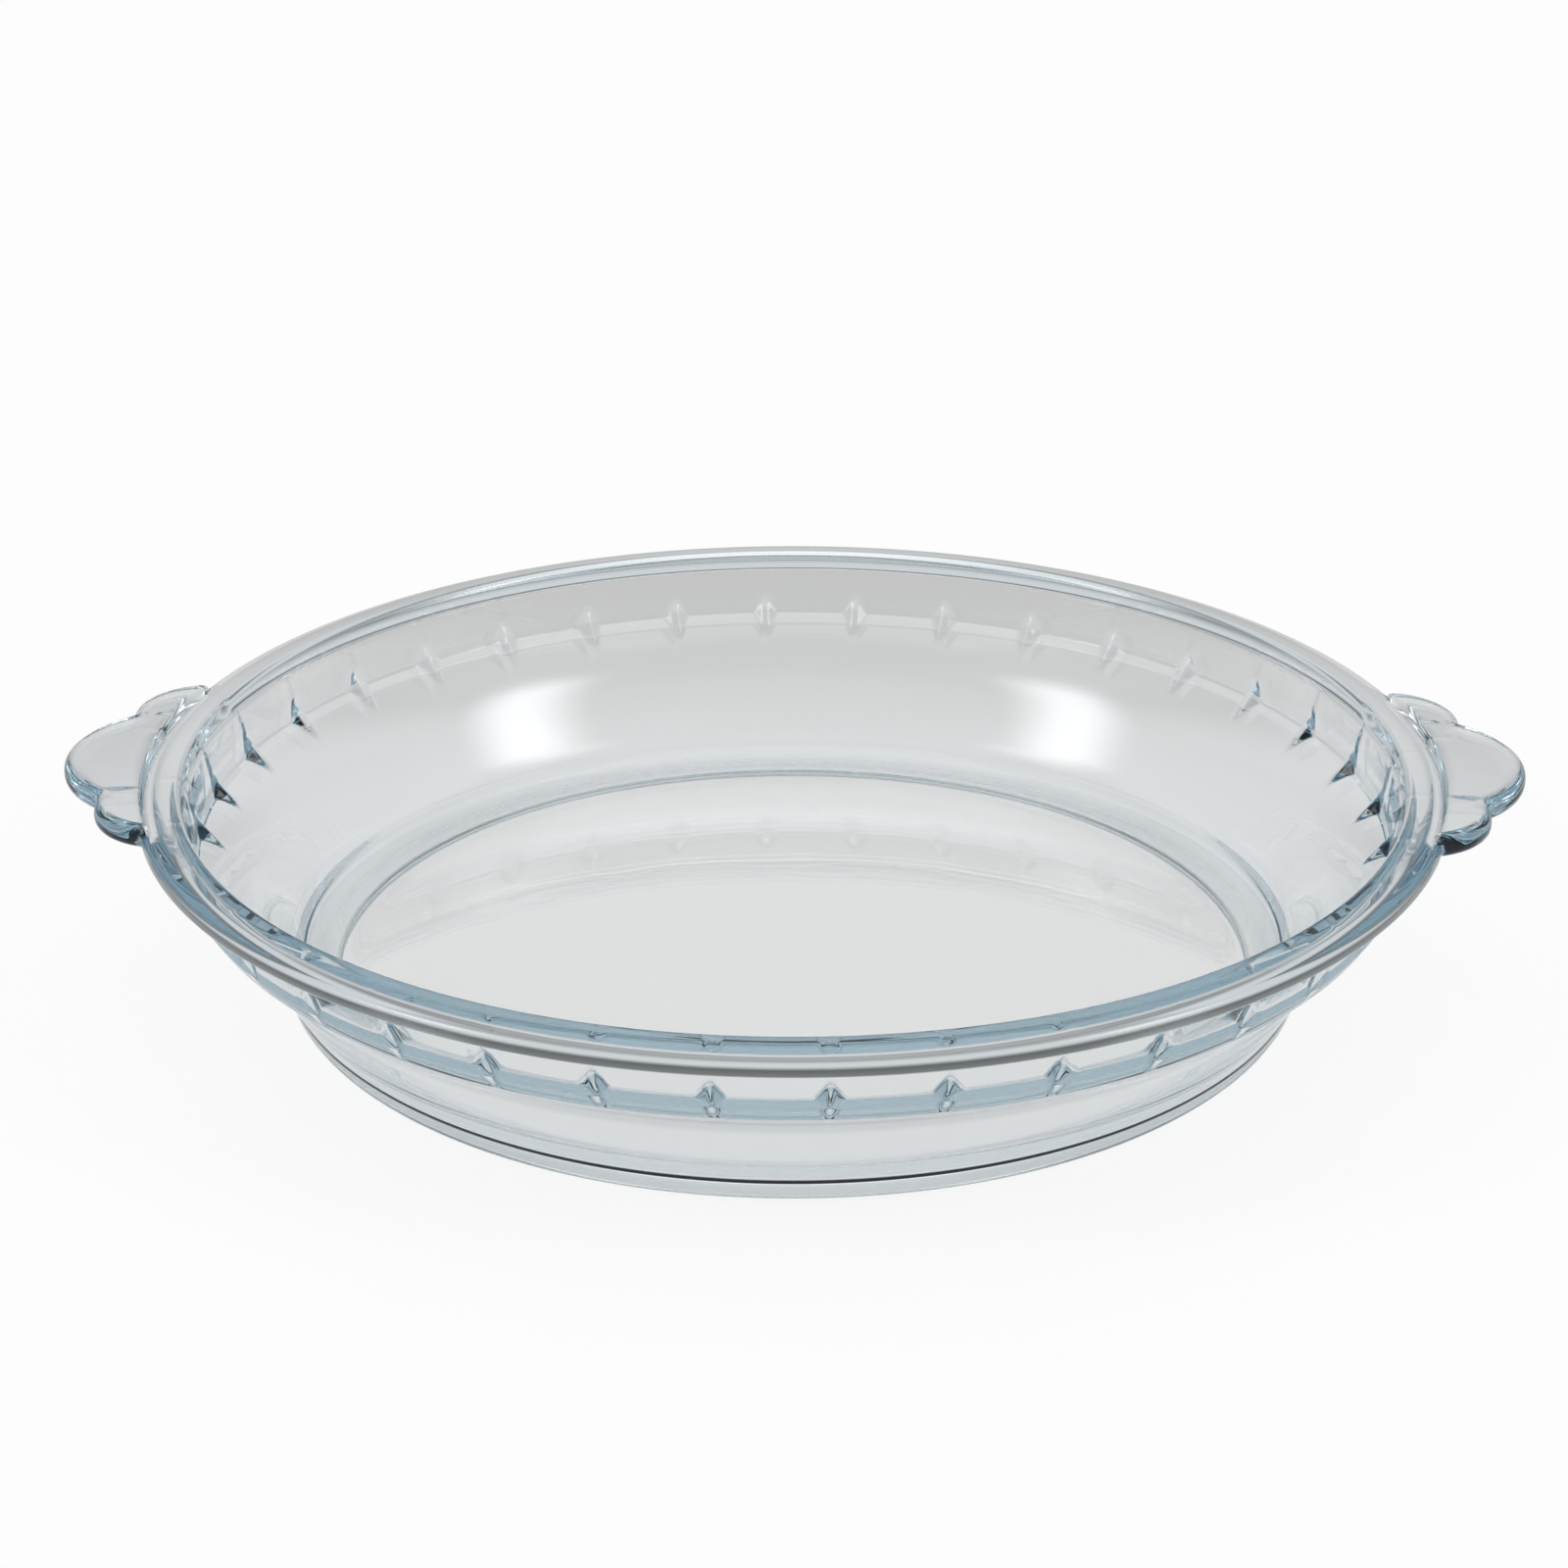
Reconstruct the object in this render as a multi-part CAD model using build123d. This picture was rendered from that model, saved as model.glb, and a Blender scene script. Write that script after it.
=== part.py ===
from build123d import *

import math
import os

# A clear pressed-glass pie dish, one piece of glass: a flat floor, a sloping wall that flares
# to a narrow ledge, an upper band pinched in by flutes, a thick rim and two scalloped tab handles.
# Millimetres. The origin is the centre of the base on the table, +Z is up, the handles lie on X.

# Driving sizes of the dish
RIM_RADIUS = 115.0
RIM_HEIGHT = 39.5
FLOOR_THICKNESS = 3.2
WALL_THICKNESS = 3.7

# Recess in the base, which leaves a ring round it for the dish to stand on
RECESS_DEPTH = 1.8
RECESS_LEAN = 1.2
RECESS_ROUND = 0.5
FOOT_RING_WIDTH = 7.8

# Foot, the low and nearly upright step round the base
FOOT_HEIGHT = 5.0
FOOT_LEAN = 0.6
FOOT_EDGE_ROUND = 4.3

# Outer face of the wall from the foot up, as runs outward and rises
CONE_RUN = 6.4
CONE_RISE = 10.6
FLARE_RUN = 8.6
FLARE_RISE = 8.4
CHAMFER_RUN = 1.8
CHAMFER_RISE = 2.8
BAND_LEAN = 0.8
CHAMFER_EDGE_ROUND = 0.9

# Inside of the dish
FLOOR_CORNER_ROUND = 13.5
LEDGE_WIDTH = 0.6
LEDGE_SLOPE_RISE = 0.3
LEDGE_EDGE_ROUND = 0.3
LIP_LEAN = 2.6

# Rim
RIM_FLANGE = 6.2
RIM_THICKNESS = 3.8
RIM_UNDER_RISE = 0.3
RIM_SHOULDER_RUN = 3.8
RIM_SHOULDER_DROP = 1.5
RIM_CROWN_ROUND = 4.5
RIM_SHOULDER_ROUND = 1.3
RIM_UNDER_ROUND = 0.4
RIM_NECK_ROUND = 0.8
LIP_ROUND = 1.4

# Flutes, each a rib across the inner ledge with a dent behind it in the outer face
FLUTE_COUNT = 36
FLUTE_TURN_DEGREES = 4.1
RIB_RISE = 6.4
RIB_HALF_WIDTH = 3.0
RIB_CREST_HALF_WIDTH = 1.4
RIB_TIP_HALF_WIDTH = 0.5
RIB_SEAT_DEPTH = 0.25
RIB_ROOT_DEPTH = 1.2
RIB_FOOT_SHARE = 0.7
RIB_SEAT_SHARE = 0.5
DENT_RISE = 7.2
DENT_SHOULDER_RISE = 1.8
DENT_DEEPEST_RISE = 1.4
DENT_HALF_WIDTH = 2.75
DENT_DEPTH = 1.3
DENT_FOOT_SHARE = 0.7
DENT_REACH = 3.0

# Handles, each a flat tab with a wide middle lobe between two side lobes
HANDLE_REACH = 14.1
HANDLE_RISE = 0.6
HANDLE_THICKNESS = 4.4
MIDDLE_LOBE_RADIUS = 22.0
SIDE_LOBE_RADIUS = 12.0
SIDE_LOBE_SPREAD = 20.6
SIDE_LOBE_INSET = 6.7
HANDLE_SEAT_INSET = 2.0
HANDLE_SEAT_WIDTH = 3.0
HANDLE_ROOT_ROUND = 7.0
CUSP_ROUND = 3.5
HANDLE_TOP_ROUND = 1.8
HANDLE_UNDER_ROUND = 1.8

# Groove between each handle's top and the rim
SEAM_INSET = 1.2
SEAM_DEPTH = 2.5
SEAM_LEAN = 1.0

# Creases pressed into each handle's top, from the cusps in towards the rim
CREASE_SPREAD = 17.6
CREASE_HALF_WIDTH = 0.8
CREASE_DEPTH = 0.5
CREASE_RUNOUT_SHARE = 0.3

# Length by which a cutting shape runs past the face that it cuts
OVERRUN = 1.0


def unit(vector):
    """The vector scaled to a length of one."""
    length = math.hypot(*vector)
    return (vector[0] / length, vector[1] / length)


def along(point, direction, distance):
    """The point that lies at a distance from another, in a direction of length one."""
    return (point[0] + direction[0] * distance, point[1] + direction[1] * distance)


def between(low, high, share):
    """The point at a share of the way from one point to another."""
    return (low[0] + (high[0] - low[0]) * share, low[1] + (high[1] - low[1]) * share)


def at_height(low, high, height):
    """The point of a straight run that lies at a height."""
    return between(low, high, (height - low[1]) / (high[1] - low[1]))


# Outer face, as (radius, height) points
CROWN_EDGE = (RIM_RADIUS - RIM_SHOULDER_RUN, RIM_HEIGHT)
SHOULDER = (RIM_RADIUS, RIM_HEIGHT - RIM_SHOULDER_DROP)
RIM_UNDER = (RIM_RADIUS, RIM_HEIGHT - RIM_THICKNESS)
BAND_TOP = (RIM_RADIUS - RIM_FLANGE, RIM_UNDER[1] - RIM_UNDER_RISE)
CONE_FOOT_HEIGHT = FOOT_HEIGHT + CONE_RISE
FLARE_TOP_HEIGHT = CONE_FOOT_HEIGHT + FLARE_RISE
BAND_FOOT = (BAND_TOP[0] - BAND_LEAN, FLARE_TOP_HEIGHT + CHAMFER_RISE)
FLARE_TOP = (BAND_FOOT[0] - CHAMFER_RUN, FLARE_TOP_HEIGHT)
CONE_TOP = (FLARE_TOP[0] - FLARE_RUN, CONE_FOOT_HEIGHT)
FOOT_TOP = (CONE_TOP[0] - CONE_RUN, FOOT_HEIGHT)
HEEL = (FOOT_TOP[0] - FOOT_LEAN, 0)
RING_EDGE = (HEEL[0] - FOOT_RING_WIDTH, 0)
RECESS_CORNER = (RING_EDGE[0] - RECESS_LEAN, RECESS_DEPTH)
RECESS_CENTRE = (0, RECESS_DEPTH)

# The cone runs straight, and the flare is the arc that carries on from it
CONE_DIRECTION = unit((CONE_RUN, CONE_RISE))
CONE_INWARD = (-CONE_DIRECTION[1], CONE_DIRECTION[0])
CHORD_LENGTH = math.hypot(FLARE_RUN, FLARE_RISE)
FLARE_HALF_TURN = math.atan2(FLARE_RUN, FLARE_RISE) - math.atan2(CONE_RUN, CONE_RISE)
FLARE_RADIUS = CHORD_LENGTH / (2 * math.sin(FLARE_HALF_TURN))
FLARE_CENTRE = along(CONE_TOP, CONE_INWARD, -FLARE_RADIUS)
FLARE_START = math.atan2(CONE_INWARD[1], CONE_INWARD[0])
INNER_FLARE_RADIUS = FLARE_RADIUS + WALL_THICKNESS


def on_flare(radius, share):
    """The point at a share of the way up an arc round the flare's centre."""
    angle = FLARE_START - 2 * FLARE_HALF_TURN * share
    return along(FLARE_CENTRE, (math.cos(angle), math.sin(angle)), radius)


# Inner face, one wall thickness inside the outer one up to the ledge
CONE_SLOPE = CONE_RUN / CONE_RISE
INNER_CONE_TOP = on_flare(INNER_FLARE_RADIUS, 0)
LEDGE_EDGE = on_flare(INNER_FLARE_RADIUS, 1)
LEDGE_BACK = (LEDGE_EDGE[0] + LEDGE_WIDTH, LEDGE_EDGE[1] + LEDGE_SLOPE_RISE)
LIP = (LEDGE_BACK[0] + LIP_LEAN, RIM_HEIGHT)
FLOOR_CORNER = (INNER_CONE_TOP[0] - (INNER_CONE_TOP[1] - FLOOR_THICKNESS) * CONE_SLOPE, FLOOR_THICKNESS)
FLOOR_CENTRE = (0, FLOOR_THICKNESS)

HANDLE_TOP = RIM_HEIGHT + HANDLE_RISE
HANDLE_SEAT_RADIUS = RIM_RADIUS - HANDLE_SEAT_INSET


def place(point, sideways=0):
    """A (radius, height) point set in space over the X axis."""
    return Vector(point[0], sideways, point[1])


def run_through(*points):
    """Straight lines through profile points."""
    return Polyline(*[place(point) for point in points])


def flare_arc(radius, start, end):
    """The stretch of an arc round the flare's centre between two shares of the way up."""
    stops = (start, (start + end) / 2, end)
    return ThreePointArc(*[place(on_flare(radius, stop)) for stop in stops])


def section_of_glass():
    """Half the section of the dish, without its flutes and handles."""
    outline = Curve() + [
        run_through(FLOOR_CENTRE, RECESS_CENTRE, RECESS_CORNER, RING_EDGE, HEEL, FOOT_TOP, CONE_TOP),
        flare_arc(FLARE_RADIUS, 0, 1),
        run_through(FLARE_TOP, BAND_FOOT, BAND_TOP, RIM_UNDER, SHOULDER, CROWN_EDGE),
        run_through(CROWN_EDGE, LIP, LEDGE_BACK, LEDGE_EDGE),
        flare_arc(INNER_FLARE_RADIUS, 1, 0),
        run_through(INNER_CONE_TOP, FLOOR_CORNER, FLOOR_CENTRE),
    ]
    section = make_face(outline)
    rounds = (
        (RECESS_CORNER, RECESS_ROUND),
        (RING_EDGE, RECESS_ROUND),
        (HEEL, FOOT_EDGE_ROUND),
        (FLARE_TOP, CHAMFER_EDGE_ROUND),
        (BAND_FOOT, CHAMFER_EDGE_ROUND),
        (BAND_TOP, RIM_NECK_ROUND),
        (RIM_UNDER, RIM_UNDER_ROUND),
        (SHOULDER, RIM_SHOULDER_ROUND),
        (CROWN_EDGE, RIM_CROWN_ROUND),
        (LIP, LIP_ROUND),
        (LEDGE_BACK, LEDGE_EDGE_ROUND),
        (LEDGE_EDGE, LEDGE_EDGE_ROUND),
        (FLOOR_CORNER, FLOOR_CORNER_ROUND),
    )
    for point, radius in rounds:
        corner = section.vertices().sort_by_distance(place(point))[0]
        section = fillet(corner, radius)
    return section


def both_sides(point, half_width):
    """A profile point moved to both sides of the XZ plane."""
    return [place(point, side * half_width) for side in (-1, 1)]


def rib():
    """A rib that bridges the ledge, widest on the ledge, with tips that run out on the wall."""
    top = at_height(LEDGE_BACK, LIP, LEDGE_BACK[1] + RIB_RISE)
    foot = on_flare(INNER_FLARE_RADIUS, RIB_FOOT_SHARE)
    crest = at_height(foot, top, LEDGE_EDGE[1])
    seat = between(LEDGE_EDGE, LEDGE_BACK, RIB_SEAT_SHARE)
    seat = (seat[0], seat[1] - RIB_SEAT_DEPTH)
    corners = both_sides(crest, RIB_CREST_HALF_WIDTH) + both_sides(seat, RIB_HALF_WIDTH)
    corners += both_sides(top, RIB_TIP_HALF_WIDTH) + both_sides(foot, RIB_TIP_HALF_WIDTH)
    for tip in (top, foot):
        corners += both_sides((tip[0] + RIB_ROOT_DEPTH, tip[1]), RIB_TIP_HALF_WIDTH)
    corners += both_sides((seat[0] + RIB_ROOT_DEPTH, seat[1]), RIB_HALF_WIDTH)
    return ConvexPolyhedron(corners)


def dent():
    """The space of a dent, four sloping facets that meet at its deepest point."""
    top = at_height(BAND_FOOT, BAND_TOP, BAND_FOOT[1] + DENT_RISE)
    shoulder = at_height(BAND_FOOT, BAND_TOP, BAND_FOOT[1] + DENT_SHOULDER_RISE)
    deepest = at_height(BAND_FOOT, BAND_TOP, BAND_FOOT[1] + DENT_DEEPEST_RISE)
    foot = between(FLARE_TOP, BAND_FOOT, DENT_FOOT_SHARE)
    outline = [place(top), place(foot)] + both_sides(shoulder, DENT_HALF_WIDTH)
    outward = Vector(DENT_REACH, 0, 0)
    deepest_corner = place((deepest[0] - DENT_DEPTH, deepest[1]))
    return ConvexPolyhedron([deepest_corner] + outline + [point + outward for point in outline])


def at_each_flute(shape):
    """Copies of a shape all round the dish, one at each flute."""
    turns = [FLUTE_TURN_DEGREES + 360 * index / FLUTE_COUNT for index in range(FLUTE_COUNT)]
    return [Rot(0, 0, turn) * shape for turn in turns]


def radius_of(spot):
    """How far a vertex or a vector lies from the dish's axis."""
    return math.hypot(spot.X, spot.Y)


def handle_outline():
    """The handle at +X from above, with the strip of it that is bedded in the rim."""
    middle = RIM_RADIUS + HANDLE_REACH - MIDDLE_LOBE_RADIUS
    side_place = RIM_RADIUS - SIDE_LOBE_INSET
    turned = Rot(0, 0, 180)
    outline = turned * Circle(HANDLE_SEAT_RADIUS)
    outline += Pos(middle, 0) * turned * Circle(MIDDLE_LOBE_RADIUS)
    for side in (-1, 1):
        outline += Pos(side_place, side * SIDE_LOBE_SPREAD) * turned * Circle(SIDE_LOBE_RADIUS)
    cusps = outline.vertices().sort_by(radius_of)[2:]
    outline = fillet(cusps, CUSP_ROUND)
    roots = outline.vertices().sort_by(radius_of)[:2]
    outline = fillet(roots, HANDLE_ROOT_ROUND)
    half_span = SIDE_LOBE_SPREAD + SIDE_LOBE_RADIUS + HANDLE_ROOT_ROUND
    window = Pos(RIM_RADIUS, 0) * Rectangle(2 * half_span, 2 * half_span)
    return (outline & window) - Circle(HANDLE_SEAT_RADIUS - HANDLE_SEAT_WIDTH)


def crease(side):
    """The space of one crease, a shallow vee that runs out towards the rim."""
    middle = side * CREASE_SPREAD
    height = CREASE_DEPTH + OVERRUN
    half_width = CREASE_HALF_WIDTH * height / CREASE_DEPTH
    inner_end = (RIM_RADIUS - SEAM_INSET, HANDLE_TOP - CREASE_DEPTH * CREASE_RUNOUT_SHARE)
    outer_end = (RIM_RADIUS + HANDLE_REACH, HANDLE_TOP - CREASE_DEPTH)
    corners = []
    for radius, bottom in (inner_end, outer_end):
        corners.append(Vector(radius, middle, bottom))
        corners += [Vector(radius, middle + edge * half_width, bottom + height) for edge in (-1, 1)]
    return ConvexPolyhedron(corners)


def seam_groove():
    """The space over the rim's shoulder that keeps the handle's top clear of it."""
    low = HANDLE_TOP - SEAM_DEPTH
    high = HANDLE_TOP + OVERRUN
    bottom_radius = RIM_RADIUS - SEAM_INSET
    top_radius = bottom_radius + SEAM_LEAN * (high - low) / SEAM_DEPTH
    inner_radius = HANDLE_SEAT_RADIUS - HANDLE_SEAT_WIDTH - OVERRUN
    corners = ((inner_radius, low), (bottom_radius, low), (top_radius, high), (inner_radius, high))
    return revolve(make_face(run_through(*corners, corners[0])), Axis.Z)


def handle():
    """The handle at +X, a tab with rounded edges, a groove along the rim and a crease at each cusp."""
    tab = extrude(handle_outline(), HANDLE_THICKNESS)
    for height, edge_round in ((HANDLE_THICKNESS, HANDLE_TOP_ROUND), (0, HANDLE_UNDER_ROUND)):
        level = tab.edges().filter_by_position(Axis.Z, height, height)
        rounded = [edge for edge in level if radius_of(edge.center(CenterOf.GEOMETRY)) > RIM_RADIUS]
        tab = fillet(rounded, edge_round)
    tab = Pos(0, 0, HANDLE_TOP - HANDLE_THICKNESS) * tab
    return tab - [seam_groove(), crease(-1), crease(1)]


dish = revolve(section_of_glass(), Axis.Z)
tab = handle()
for turn in (0, 180):
    dish += Rot(0, 0, turn) * tab
dish -= at_each_flute(dent())
dish += at_each_flute(rib())

os.makedirs("parts", exist_ok=True)
export_step(dish, "parts/pie_dish.step")
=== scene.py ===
"""A clear pressed-glass pie dish with pinched flutes and two scalloped tab handles.

The dish is one piece of glass, so it is one closed mesh. Its section is drawn once, spun into
one flute's slice, shaped there, and copied round; two wider slices carry the handles. Sizes are
in metres, and a place on the section is a pair of radius and height.
"""

import logging
import math
from dataclasses import dataclass
from enum import Enum
from typing import Any, Callable, Optional

import bmesh
import bpy
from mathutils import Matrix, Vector


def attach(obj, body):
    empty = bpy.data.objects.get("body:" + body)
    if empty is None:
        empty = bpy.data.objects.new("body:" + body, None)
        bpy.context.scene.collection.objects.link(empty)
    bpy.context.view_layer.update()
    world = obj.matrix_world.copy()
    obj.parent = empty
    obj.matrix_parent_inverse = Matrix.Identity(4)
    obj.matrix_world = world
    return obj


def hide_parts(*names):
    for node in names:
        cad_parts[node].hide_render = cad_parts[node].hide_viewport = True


logging.basicConfig(level=logging.INFO, format="%(message)s")
log = logging.getLogger("pie_dish")

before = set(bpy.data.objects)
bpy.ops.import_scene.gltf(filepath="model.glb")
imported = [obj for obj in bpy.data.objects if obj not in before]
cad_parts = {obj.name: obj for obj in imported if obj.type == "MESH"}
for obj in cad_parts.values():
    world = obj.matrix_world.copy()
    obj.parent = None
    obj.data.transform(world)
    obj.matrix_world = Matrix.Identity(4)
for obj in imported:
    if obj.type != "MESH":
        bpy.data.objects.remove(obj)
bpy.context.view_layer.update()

Place = tuple[float, float]
Circle = tuple[Place, float]
Triple = tuple[float, float, float]
Colour = Triple

TINY = 1e-6
TURN = {"center": (0, 0, 0), "axis": (0, 0, -1)}


def unit(vector: Place) -> Place:
    """The vector scaled to a length of one."""
    length = math.hypot(*vector)
    return (vector[0] / length, vector[1] / length)


def along(place: Place, direction: Place, distance: float) -> Place:
    """The place that lies at a distance from another, in a direction of length one."""
    return (place[0] + direction[0] * distance, place[1] + direction[1] * distance)


def between(low: Place, high: Place, share: float) -> Place:
    """The place at a share of the way from one place to another."""
    return (low[0] + (high[0] - low[0]) * share, low[1] + (high[1] - low[1]) * share)


def at_height(low: Place, high: Place, height: float) -> Place:
    """The place on a straight run that lies at a height."""
    return between(low, high, (height - low[1]) / (high[1] - low[1]))


def clamped(value: float) -> float:
    """The value kept between nought and one."""
    return min(1.0, max(0.0, value))


def eased(value: float) -> float:
    """A smooth step from nought to one as the value goes from nought to one."""
    value = clamped(value)
    return value * value * (3 - 2 * value)


def from_nearest(value: float, spacing: float) -> float:
    """How far a value lies from the nearest multiple of a spacing."""
    return (value + spacing / 2) % spacing - spacing / 2


def evenly(start: Place, end: Place, steps: int) -> list[Place]:
    """Places evenly spaced on a straight run, without its start and with its end.

    Args:
        start: where the run starts.
        end: where the run ends.
        steps: how many places to return.

    Returns:
        The places in order.
    """
    return [between(start, end, (step + 1) / steps) for step in range(steps)]


def rounded(before: Place, corner: Place, after: Place, radius: float, steps: int) -> list[Place]:
    """A corner rounded off by an arc.

    Args:
        before: a place on the run that comes into the corner.
        corner: the sharp corner.
        after: a place on the run that leaves the corner.
        radius: the arc's radius.
        steps: how many straight steps the arc takes.

    Returns:
        The arc's places, both tangent points among them.
    """
    into = unit((before[0] - corner[0], before[1] - corner[1]))
    out = unit((after[0] - corner[0], after[1] - corner[1]))
    half = math.acos(into[0] * out[0] + into[1] * out[1]) / 2
    start = along(corner, into, radius / math.tan(half))
    end = along(corner, out, radius / math.tan(half))
    centre = along(corner, unit((into[0] + out[0], into[1] + out[1])), radius / math.sin(half))
    first = math.atan2(start[1] - centre[1], start[0] - centre[0])
    last = math.atan2(end[1] - centre[1], end[0] - centre[0])
    sweep = from_nearest(last - first, math.tau)
    angles = [first + sweep * step / steps for step in range(steps + 1)]
    return [along(centre, (math.cos(angle), math.sin(angle)), radius) for angle in angles]


class Side(Enum):
    """Which face of the glass a row of the section lies on."""

    OUTSIDE = "outside"
    RIM = "rim"
    INSIDE = "inside"


@dataclass(frozen=True)
class Row:
    """One row of the dish's grid: a place on the section and how the handles and flutes move it."""

    place: Place
    side: Side
    tab_place: Optional[Callable[[float], Place]] = None
    crease_share: float = 0.0


@dataclass(frozen=True)
class RimSection:
    """Sizes of the rim, from the neck under it to the lip inside it."""

    radius: float = 0.115
    height: float = 0.0395
    flange: float = 0.0062
    thickness: float = 0.0038
    under_rise: float = 0.0003
    shoulder_run: float = 0.0038
    shoulder_drop: float = 0.0015
    crown_round: float = 0.0045
    shoulder_round: float = 0.0013
    under_round: float = 0.0004
    neck_round: float = 0.0008
    lip_round: float = 0.0014

    @property
    def crown_edge(self) -> Place:
        """Where the flat crown gives way to the sloping shoulder."""
        return (self.radius - self.shoulder_run, self.height)

    @property
    def shoulder(self) -> Place:
        """The corner at the foot of the sloping shoulder."""
        return (self.radius, self.height - self.shoulder_drop)

    @property
    def under(self) -> Place:
        """The corner under the rim's outer face."""
        return (self.radius, self.height - self.thickness)

    @property
    def neck(self) -> Place:
        """The corner where the rim's underside meets the band."""
        return (self.radius - self.flange, self.under[1] - self.under_rise)


@dataclass(frozen=True)
class WallSection:
    """Sizes of the floor, foot, wall, ledge and band."""

    rim: RimSection = RimSection()
    floor_thickness: float = 0.0032
    wall_thickness: float = 0.0037
    recess_depth: float = 0.0018
    recess_lean: float = 0.0012
    recess_round: float = 0.0005
    foot_ring_width: float = 0.0078
    foot_height: float = 0.005
    foot_lean: float = 0.0006
    foot_edge_round: float = 0.0043
    foot_crease_round: float = 0.0004
    cone_run: float = 0.0064
    cone_rise: float = 0.0106
    flare_run: float = 0.0086
    flare_rise: float = 0.0084
    chamfer_run: float = 0.0018
    chamfer_rise: float = 0.0028
    band_lean: float = 0.0008
    chamfer_edge_round: float = 0.0009
    floor_corner_round: float = 0.0135
    ledge_width: float = 0.0006
    ledge_slope_rise: float = 0.0003
    ledge_edge_round: float = 0.0003
    lip_lean: float = 0.0026

    @property
    def band_foot(self) -> Place:
        """The foot of the upright band's outer face."""
        height = self.foot_height + self.cone_rise + self.flare_rise + self.chamfer_rise
        return (self.rim.neck[0] - self.band_lean, height)

    @property
    def flare_top(self) -> Place:
        """The top of the flare's outer face."""
        return (self.band_foot[0] - self.chamfer_run, self.band_foot[1] - self.chamfer_rise)

    @property
    def cone_top(self) -> Place:
        """Where the cone's outer face runs on into the flare."""
        return (self.flare_top[0] - self.flare_run, self.foot_height + self.cone_rise)

    @property
    def foot_top(self) -> Place:
        """The crease between the foot and the cone."""
        return (self.cone_top[0] - self.cone_run, self.foot_height)

    @property
    def heel(self) -> Place:
        """The outer corner of the base."""
        return (self.foot_top[0] - self.foot_lean, 0.0)

    @property
    def ring_edge(self) -> Place:
        """The inner corner of the ring that the dish stands on."""
        return (self.heel[0] - self.foot_ring_width, 0.0)

    @property
    def recess_corner(self) -> Place:
        """The corner of the shallow recess inside the ring."""
        return (self.ring_edge[0] - self.recess_lean, self.recess_depth)

    @property
    def half_turn(self) -> float:
        """Half the angle by which the flare turns outward."""
        return math.atan2(self.flare_run, self.flare_rise) - math.atan2(self.cone_run, self.cone_rise)

    @property
    def flare_radius(self) -> float:
        """The radius of the flare's outer arc."""
        return math.hypot(self.flare_run, self.flare_rise) / (2 * math.sin(self.half_turn))

    @property
    def inner_radius(self) -> float:
        """The radius of the flare's inner arc."""
        return self.flare_radius + self.wall_thickness

    def on_flare(self, radius: float, share: float) -> Place:
        """The place at a share of the way up an arc round the flare's centre."""
        upward = unit((self.cone_run, self.cone_rise))
        inward = (-upward[1], upward[0])
        centre = along(self.cone_top, inward, -self.flare_radius)
        angle = math.atan2(inward[1], inward[0]) - 2 * self.half_turn * share
        return along(centre, (math.cos(angle), math.sin(angle)), radius)

    @property
    def ledge_edge(self) -> Place:
        """The inner edge of the ledge."""
        return self.on_flare(self.inner_radius, 1)

    @property
    def ledge_back(self) -> Place:
        """The corner between the ledge and the band's inner face."""
        return along(self.ledge_edge, (self.ledge_width, self.ledge_slope_rise), 1)

    @property
    def lip(self) -> Place:
        """The corner between the band's inner face and the crown."""
        return (self.ledge_back[0] + self.lip_lean, self.rim.height)

    @property
    def floor_corner(self) -> Place:
        """The corner between the floor and the cone's inner face."""
        top = self.on_flare(self.inner_radius, 0)
        run = (top[1] - self.floor_thickness) * self.cone_run / self.cone_rise
        return (top[0] - run, self.floor_thickness)


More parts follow.
